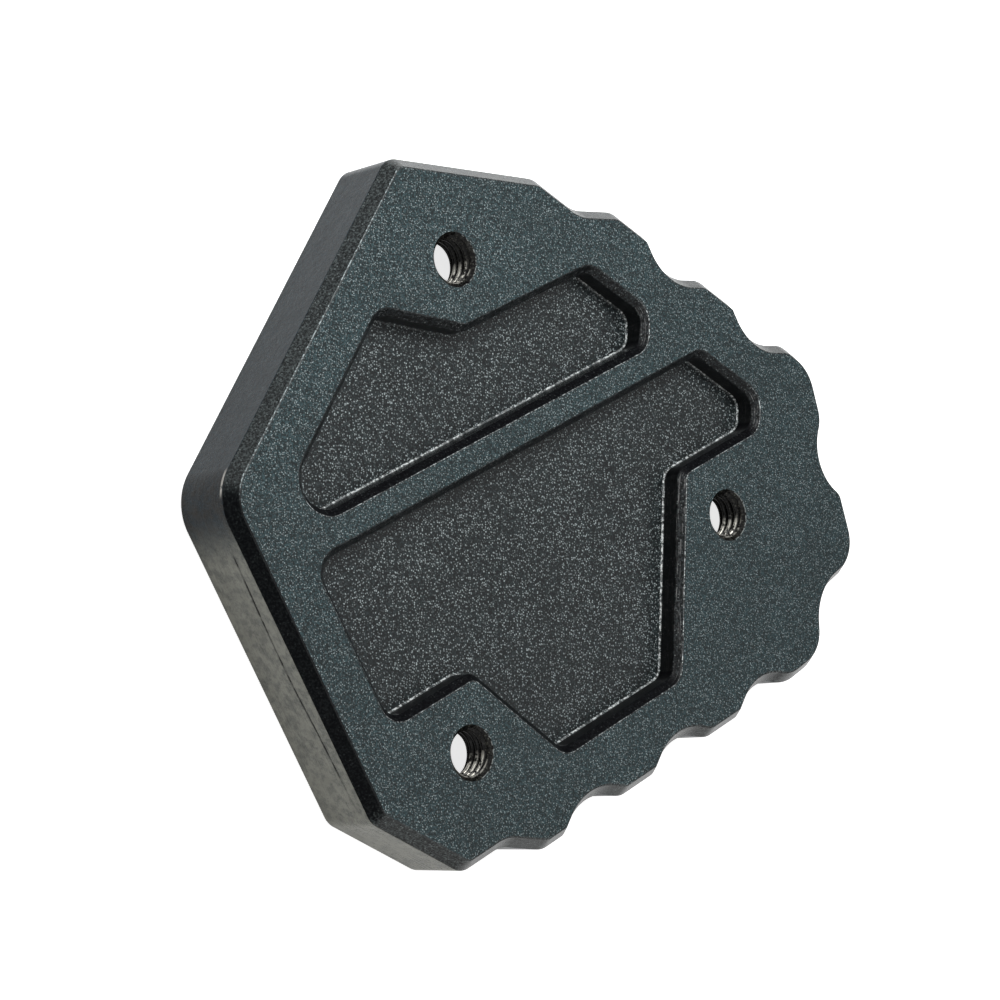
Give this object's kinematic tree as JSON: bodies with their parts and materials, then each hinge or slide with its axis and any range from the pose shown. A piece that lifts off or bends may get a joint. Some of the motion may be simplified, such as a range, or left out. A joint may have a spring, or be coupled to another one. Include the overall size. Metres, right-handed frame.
{
  "type": "kickstand foot enlarger plate",
  "caption": "Ground plate that widens a motorcycle side stand's foot: pointed outline with scalloped sides, recessed foot seat, shallow pockets beside a slanting rib and threaded screw holes.",
  "frame": {"origin": "middle of the plate's length and width, on the plane of the rim that the foot seat opens through", "axes": "+Z out of the pocketed ground face, +X from the pointed rear corner to the scalloped nose, +Y towards the long flat edge"},
  "size_m": [0.096, 0.0788, 0.0093],
  "materials": {
    "black_anodised": "bead-blasted and black anodised, fine satin grain"
  },
  "bodies": {
    "root": {"foot_plate": "black_anodised"}
  },
  "joints": []
}
